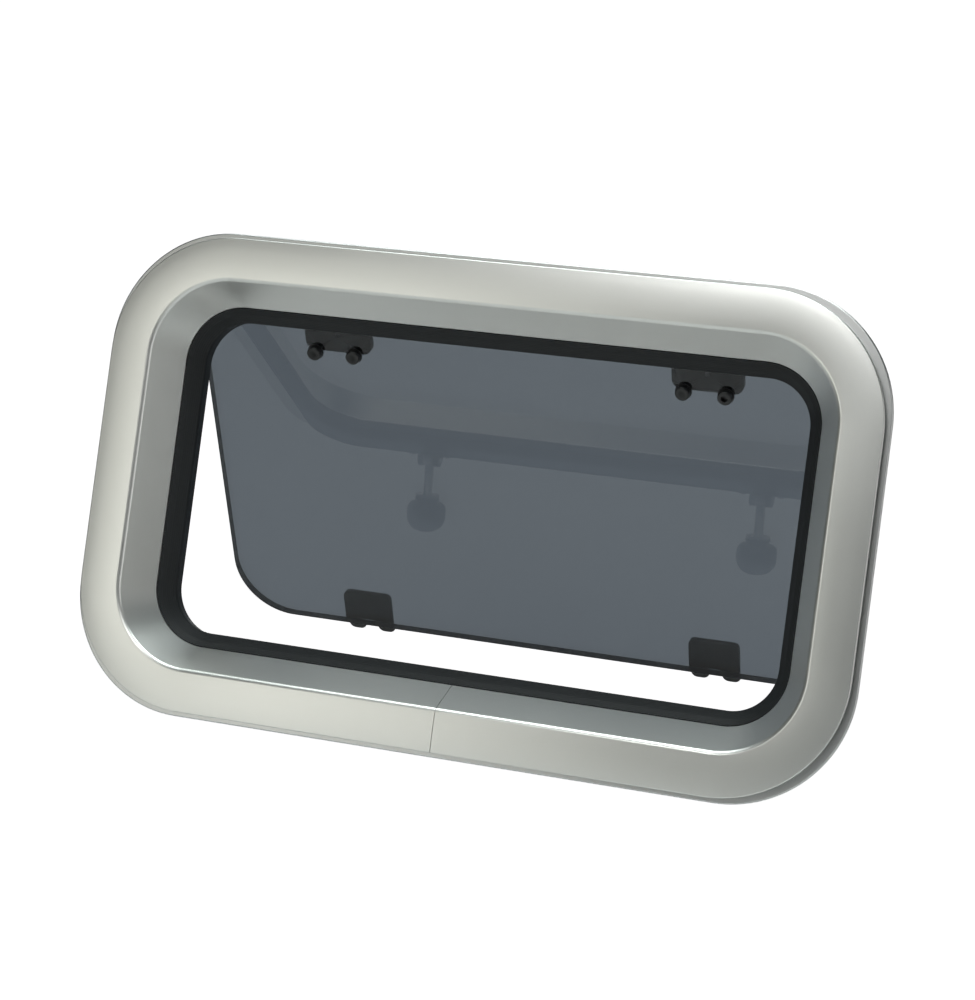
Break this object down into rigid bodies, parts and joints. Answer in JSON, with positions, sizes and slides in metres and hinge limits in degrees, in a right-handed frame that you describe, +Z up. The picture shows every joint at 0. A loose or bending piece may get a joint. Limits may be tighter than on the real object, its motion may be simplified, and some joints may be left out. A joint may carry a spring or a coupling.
{
  "type": "opening porthole",
  "caption": "Opening porthole: rounded aluminium frame with a sloped surround, black rubber seal, top-hinged smoked pane opening inwards, and swing-bolt knob closures.",
  "frame": {"origin": "centre of the hull cut-out, in the plane where the outer flange seats on the hull's skin", "axes": "+X right as seen from outside the hull, +Y into the cabin, square to the hull, +Z up"},
  "size_m": [0.372, 0.1554, 0.2314],
  "materials": {
    "anodised_aluminium": "satin anodised",
    "ring_aluminium": "satin anodised",
    "black_rubber": "matt, finely ribbed",
    "smoked_acrylic": "gloss",
    "black_coated_metal": "black satin coating",
    "black_screw": "black oxide",
    "black_plastic": "satin",
    "stainless": "bright",
    "nylon": "satin",
    "brass": "turned"
  },
  "bodies": {
    "frame": {"front_frame": "anodised_aluminium", "frame_joint_key": "anodised_aluminium", "joint_screws": "stainless", "window_seal": "black_rubber", "clamp_ring": "ring_aluminium", "clamp_screws": "stainless", "hinge_bracket_left": "black_coated_metal", "hinge_bracket_right": "black_coated_metal", "hinge_pin_left": "stainless", "hinge_pin_right": "stainless", "hinge_bracket_screws": "stainless", "bolt_bracket_left": "black_coated_metal", "bolt_bracket_right": "black_coated_metal", "bolt_pin_left": "stainless", "bolt_pin_right": "stainless", "bolt_bracket_screws": "stainless"},
    "sash": {"pane": "smoked_acrylic", "hinge_leaf_left": "black_coated_metal", "hinge_leaf_right": "black_coated_metal", "hinge_bush_left": "nylon", "hinge_bush_right": "nylon", "hinge_screws": "black_screw", "screw_washers": "black_rubber", "catch_left": "black_coated_metal", "catch_right": "black_coated_metal"},
    "bolt_left": {"swing_bolt_left": "stainless"},
    "bolt_right": {"swing_bolt_right": "stainless"},
    "washer_left": {"clamp_washer_left": "stainless"},
    "washer_right": {"clamp_washer_right": "stainless"},
    "knob_left": {"clamp_knob_left": "black_plastic", "knob_insert_left": "brass"},
    "knob_right": {"clamp_knob_right": "black_plastic", "knob_insert_right": "brass"}
  },
  "joints": [
    {"name": "pane_hinge", "type": "hinge", "parent": "frame", "child": "sash", "pos_m": [0, 0.0489, 0.092], "axis": [1, 0, 0], "range_deg": [-34.25, 40.75]},
    {"name": "bolt_swing_left", "type": "hinge", "parent": "frame", "child": "bolt_left", "pos_m": [-0.0915, 0.0306, -0.0913], "axis": [1, 0, 0], "range_deg": [-58, 62]},
    {"name": "washer_slide_left", "type": "slide", "parent": "bolt_left", "child": "washer_left", "axis": [0, 0.848, -0.5299], "range_m": [-0.0032, 0.0008]},
    {"name": "knob_spin_left", "type": "hinge", "parent": "washer_left", "child": "knob_left", "pos_m": [-0.0915, 0.0306, -0.0913], "axis": [0, 0.848, -0.5299], "range_deg": [-1450, 370]},
    {"name": "bolt_swing_right", "type": "hinge", "parent": "frame", "child": "bolt_right", "pos_m": [0.0915, 0.0306, -0.0913], "axis": [1, 0, 0], "range_deg": [-58, 62]},
    {"name": "washer_slide_right", "type": "slide", "parent": "bolt_right", "child": "washer_right", "axis": [0, 0.848, -0.5299], "range_m": [-0.0032, 0.0008]},
    {"name": "knob_spin_right", "type": "hinge", "parent": "washer_right", "child": "knob_right", "pos_m": [0.0915, 0.0306, -0.0913], "axis": [0, 0.848, -0.5299], "range_deg": [-1450, 370]}
  ],
  "couplings": [
    {"joint": "knob_spin_left", "follows": "washer_slide_left", "rad_per_m": 7854},
    {"joint": "knob_spin_right", "follows": "washer_slide_right", "rad_per_m": 7854}
  ]
}
